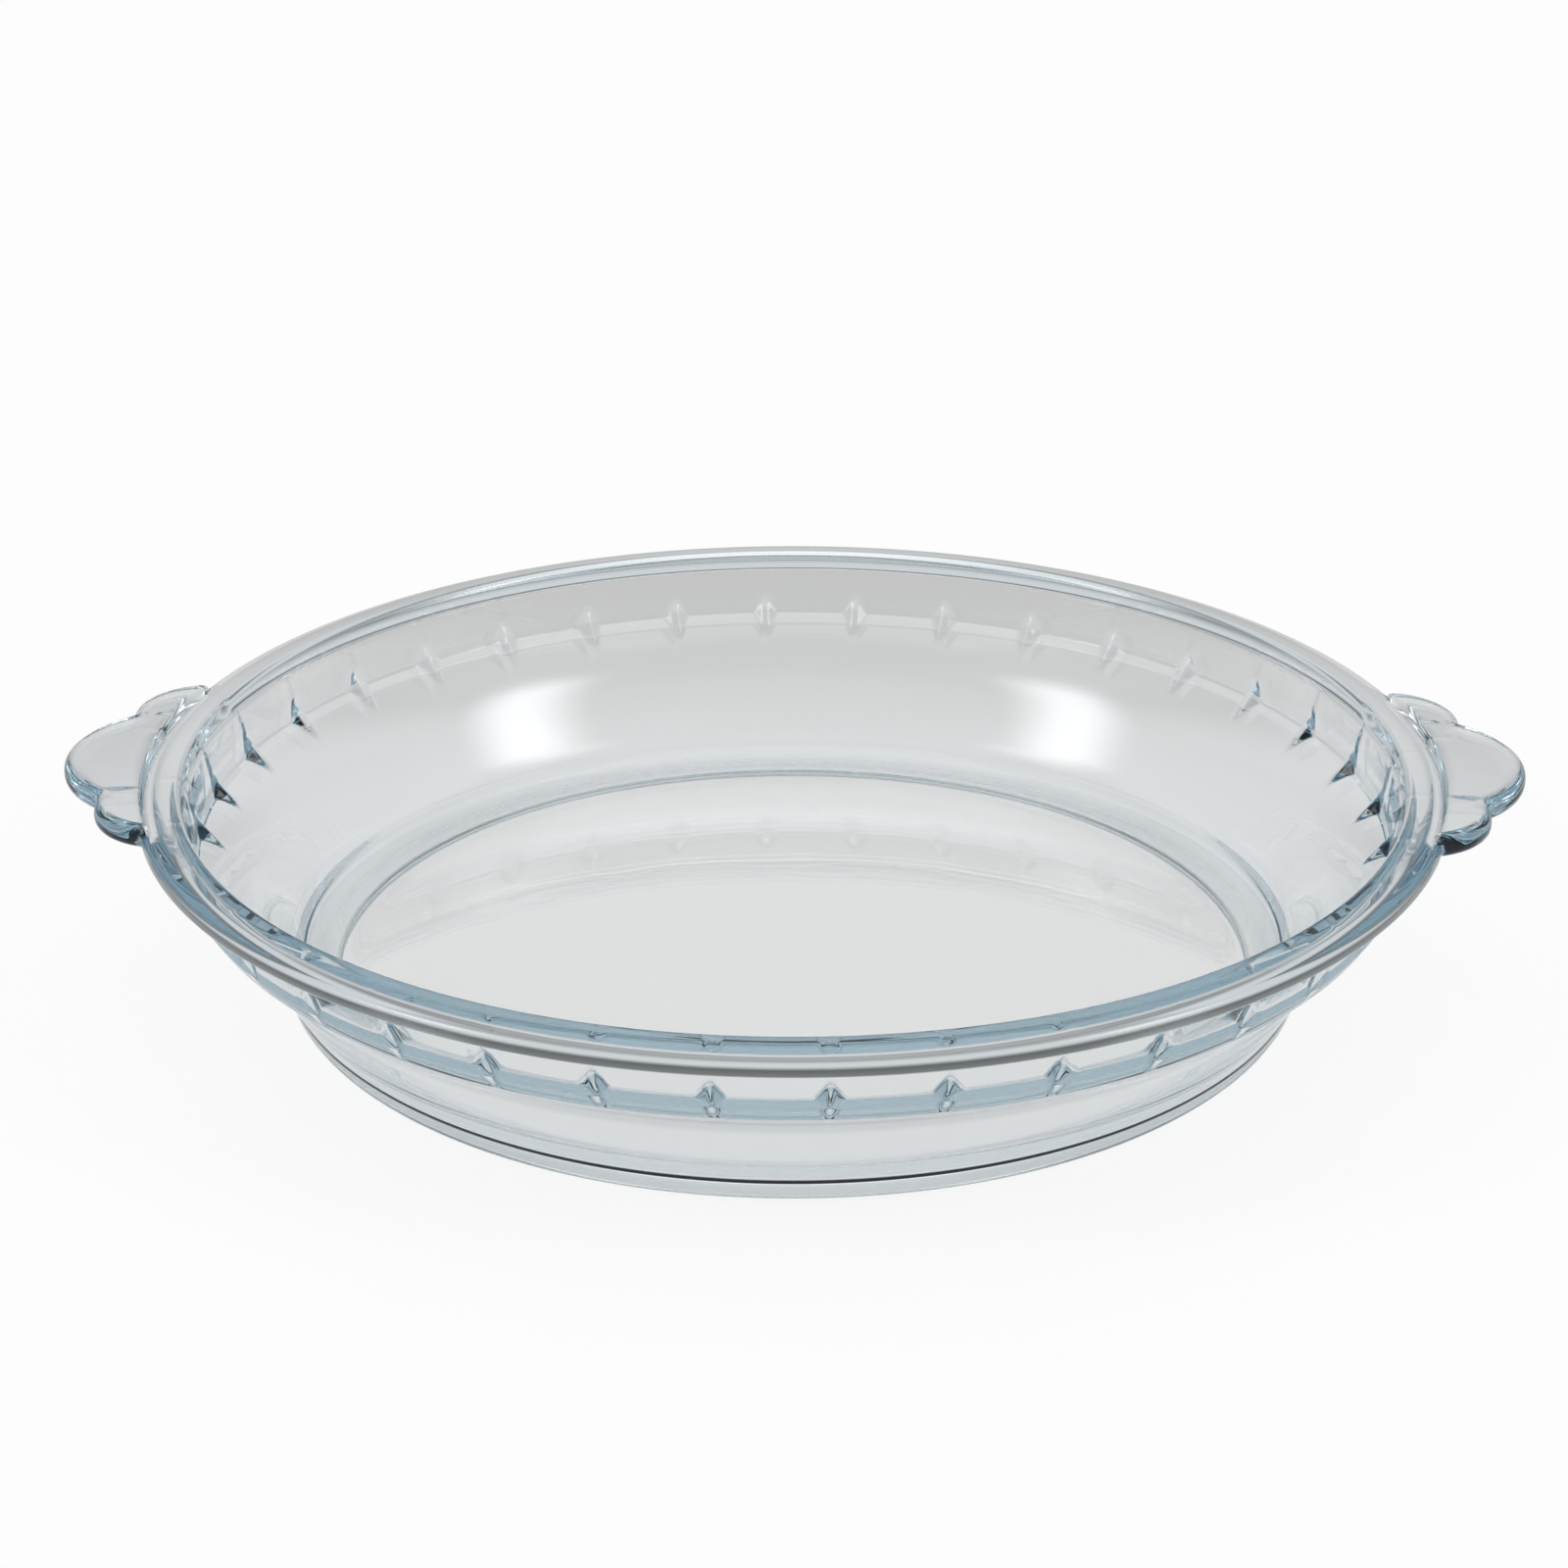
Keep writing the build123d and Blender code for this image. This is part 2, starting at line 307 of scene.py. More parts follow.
@dataclass(frozen=True)
class Flutes:
    """Sizes of the flutes, each a rib inside across the ledge and a faint dent outside behind it."""

    count: int = 36
    turn_degrees: float = 4.1
    rib_foot_share: float = 0.66
    rib_rise: float = 0.0033
    rib_crest_half_width: float = 0.0004
    rib_flank_run: float = 1.4
    rib_tip_run: float = 0.0016
    strip_rise: float = 0.0036
    strip_height: float = 0.00025
    strip_top_half_width: float = 0.0006
    strip_edge: float = 0.0005
    dent_foot_rise: float = -0.0001
    dent_slope_rise: float = 0.003
    dent_widest_rise: float = 0.004
    dent_rise: float = 0.0088
    dent_half_width: float = 0.0023
    dent_top_half_width: float = 0.0008
    dent_depth: float = 0.0002
    dent_top_depth: float = 0.0001

    @property
    def slice_degrees(self) -> float:
        """The angle that one flute takes."""
        return 360 / self.count

    def rib_lift(self, wall: WallSection, place: Place, sideways: float) -> Place:
        """How far a rib lifts a place of the inner face.

        Args:
            wall: the section that the rib stands on.
            place: the bare place on the inner face.
            sideways: how far the place lies from the rib's middle.

        Returns:
            The shift in radius and height.
        """
        foot = wall.on_flare(wall.inner_radius, self.rib_foot_share)
        top = at_height(wall.ledge_back, wall.lip, wall.ledge_back[1] + self.rib_rise)
        upward = unit((top[0] - foot[0], top[1] - foot[1]))
        outward = (-upward[1], upward[0])
        offset = (place[0] - foot[0], place[1] - foot[1])
        climbed = offset[0] * upward[0] + offset[1] * upward[1]
        depth = max(0.0, -(offset[0] * outward[0] + offset[1] * outward[1]))
        if not 0 < climbed < math.dist(foot, top):
            depth = 0.0
        crest = self.rib_crest_half_width * math.sqrt(clamped(climbed / self.rib_tip_run))
        lift = depth * clamped((crest - abs(sideways)) / (depth * self.rib_flank_run + TINY) + 1)
        return along((0.0, 0.0), outward, max(lift, self.strip_lift(wall, place, sideways)))

    def strip_lift(self, wall: WallSection, place: Place, sideways: float) -> float:
        """How far the faint strip over a rib, which runs up the band, lifts a place.

        Args:
            wall: the section that the strip stands on.
            place: the bare place on the inner face.
            sideways: how far the place lies from the strip's middle.

        Returns:
            How far the place is lifted off the inner face.
        """
        share = (place[1] - wall.ledge_edge[1]) / self.strip_rise
        if not 0 < share < 1:
            return 0.0
        widening = self.strip_top_half_width - self.rib_crest_half_width
        half_width = self.rib_crest_half_width + widening * share
        height = self.strip_height * (1 - share ** 3)
        return height * eased((half_width - abs(sideways)) / self.strip_edge + 0.5)

    def dent_push(self, wall: WallSection, place: Place, sideways: float) -> Place:
        """How far a dent pushes in a place of the outer face.

        Args:
            wall: the section that the dent is pressed into.
            place: the bare place on the outer face.
            sideways: how far the place lies from the dent's middle.

        Returns:
            The shift in radius and height.
        """
        rise = place[1] - wall.band_foot[1]
        climbed = rise - self.dent_foot_rise
        if climbed <= 0:
            return (0.0, 0.0)
        share = clamped((rise - self.dent_widest_rise) / (self.dent_rise - self.dent_widest_rise))
        half_width = self.dent_half_width + (self.dent_top_half_width - self.dent_half_width) * share
        if rise < self.dent_widest_rise:
            half_width = self.dent_half_width * climbed / (self.dent_widest_rise - self.dent_foot_rise)
        depth = self.dent_depth + (self.dent_top_depth - self.dent_depth) * share
        depth *= clamped(climbed / self.dent_slope_rise)
        return (-depth * (1 - clamped(abs(sideways) / half_width) ** 2), 0.0)


@dataclass(frozen=True)
class Handle:
    """Sizes of a handle, a flat tab with a wide middle lobe between two side lobes."""

    rim: RimSection = RimSection()
    reach: float = 0.0141
    rise: float = 0.0006
    thickness: float = 0.0044
    middle_lobe_radius: float = 0.022
    side_lobe_radius: float = 0.012
    side_lobe_spread: float = 0.0206
    side_lobe_inset: float = 0.0067
    seat_inset: float = 0.002
    root_round: float = 0.007
    cusp_round: float = 0.0035
    top_round: float = 0.0018
    under_round: float = 0.0018
    seam_inset: float = 0.0012
    seam_lean: float = 0.0009
    seam_bend_share: float = 0.35
    top_share: float = 0.5
    crease_fade: float = 0.6
    crease_spread_degrees: float = 8.45
    crease_half_width: float = 0.0009
    crease_depth: float = 0.0005

    @property
    def seat_radius(self) -> float:
        """The radius at which the tab's outline runs out into the rim."""
        return self.rim.radius - self.seat_inset

    @property
    def top(self) -> float:
        """The height of the tab's flat top."""
        return self.rim.height + self.rise

    @property
    def bottom(self) -> float:
        """The height of the tab's flat underside."""
        return self.top - self.thickness

    def touching(self, first: Circle, second: Circle, radius: float) -> Place:
        """The centre of the small circle that rounds the inlet between two circles.

        Args:
            first: one circle's centre and radius.
            second: the other circle's centre and radius.
            radius: the small circle's radius.

        Returns:
            The centre that lies on the far side from the dish's axis, at positive Y.
        """
        apart = math.dist(first[0], second[0])
        reach = first[1] + radius
        other_reach = second[1] + radius
        inward = (apart ** 2 + reach ** 2 - other_reach ** 2) / (2 * apart)
        across = math.sqrt(reach ** 2 - inward ** 2)
        way = unit((second[0][0] - first[0][0], second[0][1] - first[0][1]))
        foot = along(first[0], way, inward)
        options = [along(foot, (way[1], -way[0]), side * across) for side in (-1, 1)]
        return max(options, key=lambda centre: math.hypot(*centre))

    def far_side(self, centre: Place, radius: float, angle: float, sign: int) -> float:
        """How far out a ray from the axis crosses a circle.

        Args:
            centre: the circle's centre.
            radius: the circle's radius.
            angle: the ray's angle in radians.
            sign: 1 for the circle's far side, -1 for its near side.

        Returns:
            The distance from the axis, or nought where the ray misses the circle.
        """
        distance = math.hypot(*centre)
        turn = angle - math.atan2(centre[1], centre[0])
        inside = radius ** 2 - (distance * math.sin(turn)) ** 2
        if inside < 0:
            return 0.0
        return distance * math.cos(turn) + sign * math.sqrt(inside)

    def outline(self, angle: float) -> float:
        """The radius of the tab's outline at an angle from the handle's middle.

        Args:
            angle: the angle in radians.

        Returns:
            The radius, which is the seat's radius where there is no tab.
        """
        angle = abs(angle)
        middle = ((self.rim.radius + self.reach - self.middle_lobe_radius, 0.0), self.middle_lobe_radius)
        side = ((self.rim.radius - self.side_lobe_inset, self.side_lobe_spread), self.side_lobe_radius)
        seat = ((0.0, 0.0), self.seat_radius)
        for first, second, radius in ((middle, side, self.cusp_round), (seat, side, self.root_round)):
            centre = self.touching(first, second, radius)
            edges = []
            for lobe_centre, lobe_radius in (first, second):
                touch = between(lobe_centre, centre, lobe_radius / (lobe_radius + radius))
                edges.append(math.atan2(touch[1], touch[0]))
            if min(edges) < angle < max(edges):
                return self.far_side(centre, radius, angle, -1)
        lobes = [self.far_side(centre, radius, angle, 1) for centre, radius in (middle, side)]
        return max(self.seat_radius, *lobes)


@dataclass(frozen=True)
class Steps:
    """Into how many steps each run and rounding of the section is divided."""

    recess_round: int = 3
    foot_round: int = 5
    foot_crease: int = 2
    cone: int = 3
    flare: int = 8
    chamfer_round: int = 3
    band: int = 9
    neck_round: int = 3
    rim_under: int = 6
    rim_round: int = 5
    shoulder_round: int = 4
    tab_top: int = 6
    lip_round: int = 5
    inner_band: int = 10
    ledge_back: int = 2
    ledge_round: int = 3
    inner_flare: int = 12
    inner_flare_power: float = 1.2
    inner_cone: int = 2
    floor_round: int = 9
    centre_share: float = 0.97


def rim_rows(wall: WallSection, handle: Handle, steps: Steps) -> list[Row]:
    """Rows of the rim from its neck to its crown, which a handle draws out into its tab.

    Args:
        wall: the section of the wall.
        handle: the handle's sizes.
        steps: how finely the section is divided.

    Returns:
        The rows in order. Each has a rule that gives its place for a tab of a given reach.
    """
    rim = wall.rim
    neck = rounded(wall.band_foot, rim.neck, rim.under, rim.neck_round, steps.neck_round)[-1]
    under = rounded(rim.neck, rim.under, rim.shoulder, rim.under_round, steps.rim_round)
    shoulder = rounded(rim.under, rim.shoulder, rim.crown_edge, rim.shoulder_round, steps.shoulder_round)
    crown = rounded(rim.shoulder, rim.crown_edge, wall.lip, rim.crown_round, steps.rim_round)
    seam_bottom = rim.radius - handle.seam_inset
    seam_top = seam_bottom + handle.seam_lean
    slope = (rim.crown_edge[1] - rim.shoulder[1]) / (rim.crown_edge[0] - rim.shoulder[0])
    seam_place = (seam_bottom, rim.shoulder[1] + (seam_bottom - rim.shoulder[0]) * slope)
    rows = []

    def add(place: Place, tab_place: Callable[[float], Place], crease_share: float = 0.0) -> None:
        """Adds one row of the rim."""
        rows.append(Row(place, Side.RIM, tab_place, crease_share))

    def underside(reach: float, share: float) -> Place:
        """A place on the tab's underside, which is flat beyond the rim."""
        radius = neck[0] + (reach - handle.under_round - neck[0]) * share
        rise = (rim.under[1] - rim.neck[1]) / (rim.under[0] - rim.neck[0])
        return (radius, min(handle.bottom, rim.neck[1] + (radius - rim.neck[0]) * rise))

    def edge(reach: float, angle: float, radius: float, height: float) -> Place:
        """A place on a rounded edge of the tab."""
        return (reach - radius + radius * math.sin(angle), height - radius * math.cos(angle))

    def flat_top(reach: float, share: float) -> Place:
        """A place on the tab's flat top."""
        return between((reach - handle.top_round, handle.top), (seam_top, handle.top), share)

    for step in range(1, steps.rim_under):
        share = step / steps.rim_under
        add(between(neck, under[0], share), lambda reach, share=share: underside(reach, share))
    low = handle.bottom + handle.under_round
    for step, place in enumerate(under):
        turn = math.pi / 2 * step / steps.rim_round
        add(place, lambda reach, turn=turn: edge(reach, turn, handle.under_round, low))
    high = handle.top - handle.top_round
    for step, place in enumerate(shoulder):
        turn = math.pi / 2 * (1 + step / steps.shoulder_round)
        add(place, lambda reach, turn=turn: edge(reach, turn, handle.top_round, high))
    top_end = between(shoulder[-1], seam_place, handle.top_share)
    for step in range(1, steps.tab_top + 1):
        share = step / steps.tab_top
        place = between(shoulder[-1], top_end, share)
        add(place, lambda reach, share=share: flat_top(reach, share), 1 - handle.crease_fade * share)
    bend = handle.seam_lean * handle.seam_bend_share
    seam = (
        (seam_top - bend, handle.top - bend / 2),
        (seam_bottom + bend / 2, handle.top - bend * 2),
        seam_place,
    )
    for place, tab_place in zip(evenly(top_end, seam_place, len(seam)), seam):
        add(place, lambda reach, tab_place=tab_place: tab_place)
    for place in crown:
        add(place, lambda reach, place=place: place)
    return rows


def section_rows(wall: WallSection, handle: Handle, steps: Steps) -> list[Row]:
    """Rows of the whole section, from the base out, up over the rim and down to the floor.

    Args:
        wall: the section of the wall.
        handle: the handle's sizes.
        steps: how finely the section is divided.

    Returns:
        The rows in order.
    """
    rim = wall.rim
    base = (0.0, wall.recess_depth)
    neck = rounded(wall.band_foot, rim.neck, rim.under, rim.neck_round, steps.neck_round)
    outside = [between(base, wall.recess_corner, steps.centre_share)]
    for before, corner, after, radius, count in (
        (base, wall.recess_corner, wall.ring_edge, wall.recess_round, steps.recess_round),
        (wall.recess_corner, wall.ring_edge, wall.heel, wall.recess_round, steps.recess_round),
        (wall.ring_edge, wall.heel, wall.foot_top, wall.foot_edge_round, steps.foot_round),
        (wall.heel, wall.foot_top, wall.cone_top, wall.foot_crease_round, steps.foot_crease),
    ):
        outside += rounded(before, corner, after, radius, count)
    outside += evenly(outside[-1], wall.cone_top, steps.cone)
    outside += [wall.on_flare(wall.flare_radius, step / steps.flare) for step in range(1, steps.flare)]
    round_off = (wall.chamfer_edge_round, steps.chamfer_round)
    outside += rounded(outside[-1], wall.flare_top, wall.band_foot, *round_off)
    outside += rounded(wall.flare_top, wall.band_foot, rim.neck, *round_off)
    outside += evenly(outside[-1], neck[0], steps.band) + neck[1:]
    inside = rounded(rim.crown_edge, wall.lip, wall.ledge_back, rim.lip_round, steps.lip_round)
    back = rounded(wall.lip, wall.ledge_back, wall.ledge_edge, wall.ledge_edge_round, steps.ledge_back)
    inside += evenly(inside[-1], back[0], steps.inner_band) + back[1:]
    flare = [
        wall.on_flare(wall.inner_radius, 1 - (step / steps.inner_flare) ** steps.inner_flare_power)
        for step in range(1, steps.inner_flare)
    ]
    inside += rounded(
        wall.ledge_back, wall.ledge_edge, flare[0], wall.ledge_edge_round, steps.ledge_round
    ) + flare
    cone_top = wall.on_flare(wall.inner_radius, 0)
    centre = (0.0, wall.floor_thickness)
    floor = rounded(cone_top, wall.floor_corner, centre, wall.floor_corner_round, steps.floor_round)
    inside += evenly(cone_top, floor[0], steps.inner_cone)[:-1] + floor
    inside.append(between(centre, floor[-1], steps.centre_share))
    rows = [Row(place, Side.OUTSIDE) for place in outside]
    rows += rim_rows(wall, handle, steps)
    rows += [Row(place, Side.INSIDE) for place in inside]
    return rows


@dataclass
class PieDish:
    """The dish: its section, flutes and handles, and the methods that build and dress it."""

    wall: WallSection = WallSection()
    flutes: Flutes = Flutes()
    handle: Handle = Handle()
    steps: Steps = Steps()
    columns: tuple[float, ...] = (0.3, 0.6, 0.86, 1.03, 1.2, 1.4, 1.7, 2.25, 3.0, 4.0, 5.0)
    crease_columns: tuple[float, ...] = (-0.8, -0.4, 0.0, 0.4, 0.8)
    crease_clearance_degrees: float = 0.2
    tab_slices: int = 4
    handle_spacing_degrees: float = 180.0
    blend_start: float = 0.0003
    blend_run: float = 0.0028
    merge_distance: float = 0.00002

    def slice_angles(self) -> list[float]:
        """Angles across one flute's slice, closest where its rib and dent have edges, in degrees."""
        return [-angle for angle in reversed(self.columns)] + [0.0, *self.columns]

    def plain_angles(self) -> list[float]:
        """Angles of the first plain slice past the handle at +X, in degrees."""
        middle = self.flutes.turn_degrees + self.flutes.slice_degrees * self.tab_slices / 2
        return [middle + angle for angle in self.slice_angles()]

    def tab_angles(self) -> list[float]:
        """Angles across the slices that the handle at +X takes, in degrees."""
        step = self.flutes.slice_degrees
        first = self.flutes.turn_degrees - step * self.tab_slices / 2
        starts = [first + step * index for index in range(self.tab_slices)]
        angles = [start + angle for start in starts for angle in self.slice_angles()[:-1]]
        angles.append(first + step * (self.tab_slices - 0.5))
        spread = self.handle.crease_spread_degrees
        extras = [side * spread + shift for side in (-1, 1) for shift in self.crease_columns]
        clear = self.crease_clearance_degrees
        kept = [angle for angle in angles if min(abs(angle - extra) for extra in extras) > clear]
        return sorted(kept + extras)

    def shaped(self, row: Row, degrees: float) -> Vector:
        """The place in space of one row at one angle round the dish.

        Args:
            row: the row of the section.
            degrees: the angle from +X towards +Y.

        Returns:
            The point, with its flute and handle shaped in.
        """
        angle = math.radians(degrees)
        off_middle = from_nearest(degrees - self.flutes.turn_degrees, self.flutes.slice_degrees)
        place = row.place
        sideways = place[0] * math.sin(math.radians(off_middle))
        if row.side is Side.INSIDE:
            place = along(place, self.flutes.rib_lift(self.wall, place, sideways), 1)
        elif row.side is Side.OUTSIDE:
            place = along(place, self.flutes.dent_push(self.wall, place, sideways), 1)
        elif row.tab_place is not None:
            place = self.drawn_out(row, degrees)
        return Vector((place[0] * math.cos(angle), place[0] * math.sin(angle), place[1]))

    def drawn_out(self, row: Row, degrees: float) -> Place:
        """The place of a rim row once a handle has drawn it out into its tab.

        Args:
            row: the row of the rim.
            degrees: the angle from +X towards +Y.

        Returns:
            The place, which is the row's own away from the handles.
        """
        from_handle = from_nearest(degrees, self.handle_spacing_degrees)
        outline = self.handle.outline(math.radians(from_handle))
        share = eased((outline - self.handle.seat_radius - self.blend_start) / self.blend_run)
        if share <= 0:
            return row.place
        tab_place = row.tab_place(max(outline, self.wall.rim.radius))
        spread = self.handle.crease_spread_degrees
        sideways = tab_place[0] * math.radians(abs(abs(from_handle) - spread))
        crease = clamped(1 - sideways / self.handle.crease_half_width) * row.crease_share
        tab_place = (tab_place[0], tab_place[1] - self.handle.crease_depth * crease)
        return between(row.place, tab_place, share)

    def draw_section(self, rows: list[Row]) -> bpy.types.Object:
        """Draws the section as a chain of edges, extruded from one corner of a primitive.

        Args:
            rows: the rows of the section.

        Returns:
            The chain's object, left in edit mode with all of it selected.
        """
        bpy.ops.object.select_all(action="DESELECT")
        start = rows[0].place
        bpy.ops.mesh.primitive_plane_add(size=self.wall.floor_thickness, location=(start[0], 0, start[1]))
        chain = bpy.context.active_object
        bpy.ops.object.transform_apply(location=True)
        bpy.ops.object.mode_set(mode="EDIT")
        bpy.ops.mesh.select_all(action="SELECT")
        bpy.ops.mesh.merge(type="CENTER")
        for before, after in zip(rows, rows[1:]):
            move = (after.place[0] - before.place[0], 0, after.place[1] - before.place[1])
            bpy.ops.mesh.extrude_region_move(TRANSFORM_OT_translate={"value": move})
        mesh = bmesh.from_edit_mesh(chain.data)
        layer = mesh.verts.layers.int.new("row")
        for vert in mesh.verts:
            place = (vert.co.x, vert.co.z)
            away = [math.dist(row.place, place) for row in rows]
            vert[layer] = away.index(min(away))
        bmesh.update_edit_mesh(chain.data)
        bpy.ops.mesh.select_all(action="SELECT")
        return chain

    def spin_slice(self, rows: list[Row], angles: list[float]) -> bpy.types.Object:
        """Spins the section through a list of angles and shapes the slice that it sweeps.

        Args:
            rows: the rows of the section.
            angles: the angles of the slice's columns, in degrees.

        Returns:
            The slice's object.
        """
        piece = self.draw_section(rows)
        bmesh.from_edit_mesh(piece.data).verts.layers.int.new("column")
        bmesh.update_edit_mesh(piece.data)
        for index, (before, after) in enumerate(zip(angles, angles[1:])):
            bpy.ops.mesh.spin(steps=1, angle=math.radians(after - before), **TURN)
            mesh = bmesh.from_edit_mesh(piece.data)
            column = mesh.verts.layers.int["column"]
            for vert in mesh.verts:
                if vert.select:
                    vert[column] = index + 1
            bmesh.update_edit_mesh(piece.data)
        mesh = bmesh.from_edit_mesh(piece.data)
        layer = mesh.verts.layers.int["row"]
        column = mesh.verts.layers.int["column"]
        for vert in mesh.verts:
            vert.co = self.shaped(rows[vert[layer]], angles[vert[column]])
        bmesh.update_edit_mesh(piece.data)
        return piece

    def copy_round(self, copies: int, degrees: float) -> None:
        """Copies all of the mesh that is being edited round the axis.

        Args:
            copies: how many copies to make.
            degrees: how far each copy lies from the one before.
        """
        bpy.ops.mesh.select_all(action="SELECT")
        bpy.ops.mesh.spin(steps=copies, angle=math.radians(copies * degrees), dupli=True, **TURN)

    def build(self) -> bpy.types.Object:
        """Builds the whole dish as one closed mesh.

        Returns:
            The finished dish.
        """
        rows = section_rows(self.wall, self.handle, self.steps)
        plain = self.spin_slice(rows, self.plain_angles())
        self.copy_round(self.flutes.count // 2 - self.tab_slices - 1, self.flutes.slice_degrees)
        bpy.ops.object.mode_set(mode="OBJECT")
        dish = self.spin_slice(rows, self.tab_angles())
        bpy.ops.object.mode_set(mode="OBJECT")
        plain.select_set(True)
        dish.select_set(True)
        bpy.context.view_layer.objects.active = dish
        bpy.ops.object.join()
        bpy.ops.object.mode_set(mode="EDIT")
        self.copy_round(1, self.handle_spacing_degrees)
        bpy.ops.mesh.select_all(action="SELECT")
        bpy.ops.mesh.remove_doubles(threshold=self.merge_distance)
        self.close_ends()
        bpy.ops.mesh.select_all(action="SELECT")
        bpy.ops.mesh.normals_make_consistent(inside=False)
        bpy.ops.object.mode_set(mode="OBJECT")
        bpy.ops.object.shade_smooth()
        dish.name = "dish"
        dish.data.name = "dish"
        for name in ("row", "column"):
            dish.data.attributes.remove(dish.data.attributes[name])
        return dish

    def close_ends(self) -> None:
        """Closes the two round holes that the spun section leaves in the floor and the base."""
        mesh = bmesh.from_edit_mesh(bpy.context.active_object.data)
        for height in (self.wall.recess_depth, self.wall.floor_thickness):
            bpy.ops.mesh.select_all(action="DESELECT")
            bpy.ops.mesh.select_mode(type="EDGE")
            for edge in mesh.edges:
                level = all(abs(vert.co.z - height) < self.merge_distance / 2 for vert in edge.verts)
                edge.select_set(level and edge.is_boundary)
            mesh.select_flush_mode()
            bmesh.update_edit_mesh(bpy.context.active_object.data)
            bpy.ops.mesh.edge_face_add()
        bpy.ops.mesh.select_mode(type="VERT")

    def dress(self, dish: bpy.types.Object) -> None:
        """Gives the dish its glass and says what it stands for."""
        dish.data.materials.clear()
        dish.data.materials.append(PressedGlass().material())
        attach(dish, "root")
        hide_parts("pie_dish")
        log.info("dish: %d vertices, %d faces", len(dish.data.vertices), len(dish.data.polygons))


class Value:
    """A number in a shader, which takes part in Python arithmetic by adding Math nodes."""

    def __init__(self, graph: "Graph", socket: Any) -> None:
        """Wraps a socket of a graph."""
        self.graph = graph
        self.socket = socket

    def _with(self, operation: str, *others: Any) -> "Value":
        """The result of a Math node on this value and others."""
        return self.graph.maths(operation, self, *others)

    def __add__(self, other: Any) -> "Value":
        """The sum."""
        return self._with("ADD", other)

    def __sub__(self, other: Any) -> "Value":
        """The difference."""
        return self._with("SUBTRACT", other)

    def __rsub__(self, other: Any) -> "Value":
        """The difference from a plain number."""
        return self.graph.maths("SUBTRACT", other, self)

    def __mul__(self, other: Any) -> "Value":
        """The product."""
        return self._with("MULTIPLY", other)

    __radd__ = __add__
    __rmul__ = __mul__


class Graph:
    """A node tree that is filled from Python."""

    def __init__(self, tree: bpy.types.NodeTree) -> None:
        """Empties a node tree and takes it over."""
        self.tree = tree
        tree.nodes.clear()

    def node(self, kind: str, settings: Optional[dict[str, Any]] = None, **values: Any) -> bpy.types.Node:
        """Adds a node.

        Args:
            kind: the node's type.
            settings: properties of the node, which are set first.
            values: the values or links of its inputs, by name with underscores for spaces.

        Returns:
            The node.
        """
        node = self.tree.nodes.new(kind)
        for name, value in (settings or {}).items():
            if name == "stops":
                ramp = node.color_ramp.elements
                for index, (place, colour) in enumerate(value):
                    stop = ramp[index] if index < 2 else ramp.new(place)
                    stop.position = place
                    stop.color = (*colour, 1)
            else:
                setattr(node, name, value)
        for name, value in values.items():
            key = int(name[1:]) if name[1:].isdigit() else name.replace("_", " ")
            self.feed(node.inputs[key], value)
        return node

    def feed(self, socket: Any, value: Any) -> None:
        """Links a value to an input, or sets the input."""
        source = value.socket if isinstance(value, Value) else value
        if isinstance(source, bpy.types.NodeSocket):
            self.tree.links.new(source, socket)
        else:
            socket.default_value = source

    def maths(self, operation: str, *values: Any) -> Value:
        """Adds a Math node on values and numbers."""
        inputs = {f"_{index}": value for index, value in enumerate(values)}
        node = self.node("ShaderNodeMath", {"operation": operation}, **inputs)
        return Value(self, node.outputs[0])

    def ramp(self, value: Any, start: float, end: float) -> Value:
        """How far a value has gone from start to end, from nought to one."""
        settings = {"clamp": True, "interpolation_type": "SMOOTHSTEP"}
        node = self.node("ShaderNodeMapRange", settings, Value=value, From_Min=start, From_Max=end)
        return Value(self, node.outputs["Result"])

    def levels(self, value: Any, stops: tuple[Place, ...]) -> Value:
        """A number that goes from level to level as a value goes from stop to stop."""
        top = max(level for _, level in stops)
        colours = [(place, (level / top,) * 3) for place, level in stops]
        node = self.node("ShaderNodeValToRGB", {"stops": colours}, Fac=value)
        return Value(self, node.outputs["Color"]) * top

    def dot(self, vector: Any, other: Vector) -> Value:
        """How far a vector reaches along another."""
        node = self.node("ShaderNodeVectorMath", {"operation": "DOT_PRODUCT"}, _0=vector, _1=tuple(other))
        return Value(self, node.outputs["Value"])

    def mix(self, share: Any, first: Any, second: Any) -> Any:
        """A colour at a share of the way from one colour to another."""
        pair = [(*colour, 1) if isinstance(colour, tuple) else colour for colour in (first, second)]
        node = self.node("ShaderNodeMix", {"data_type": "RGBA"}, _0=share, _6=pair[0], _7=pair[1])
        return node.outputs[2]

    def noise(self, vector: Any, scale: float, detail: float) -> Value:
        """Noise over a vector."""
        node = self.node("ShaderNodeTexNoise", Vector=vector, Scale=scale, Detail=detail)
        return Value(self, node.outputs["Fac"])

    def stretched(self, vector: Any, scale: Triple) -> Any:
        """The vector stretched by a Mapping node."""
        return self.node("ShaderNodeMapping", Vector=vector, Scale=scale).outputs["Vector"]


